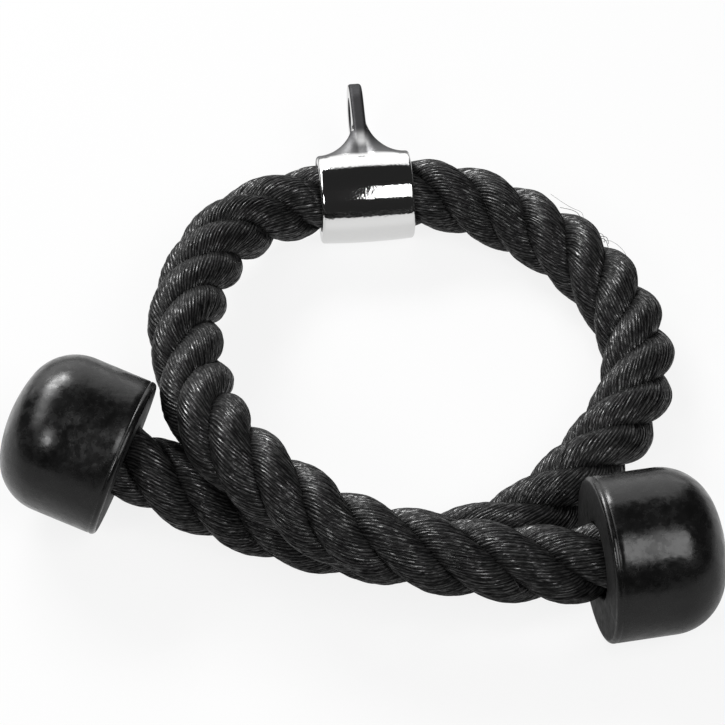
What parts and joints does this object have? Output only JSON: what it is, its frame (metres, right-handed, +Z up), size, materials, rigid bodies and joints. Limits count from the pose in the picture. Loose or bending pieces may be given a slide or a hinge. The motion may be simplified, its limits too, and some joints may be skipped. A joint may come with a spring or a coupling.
{
  "type": "triceps rope attachment",
  "caption": "Cable machine pull rope: a thick black three-strand rope through a chromed collar with a flared eye, a domed rubber stop on each end.",
  "frame": {"origin": "on the floor, under the middle of the box round the rigid pieces", "axes": "+Z up; +Y towards the collar and its eye, the longest extent; +X towards the right end stop"},
  "size_m": [0.2876, 0.3064, 0.0716],
  "materials": {
    "chrome": "polished chrome plate on a cast steel collar",
    "rope": "black twisted nylon filament, slightly shiny",
    "rubber": "smooth moulded black rubber with a soft sheen",
    "band_steel": "plain pressed steel band, hidden inside the stop"
  },
  "bodies": {
    "root": {"rope": "rope", "left_end_stop": "rubber", "right_end_stop": "rubber", "left_rope_ferrule": "band_steel", "right_rope_ferrule": "band_steel"},
    "collar": {"eye_collar": "chrome"}
  },
  "joints": [
    {"name": "collar_turn", "type": "hinge", "parent": "root", "child": "collar", "pos_m": [0.0032, 0.0983, 0.02], "axis": [0.9954, 0.0958, 0], "continuous": true}
  ]
}
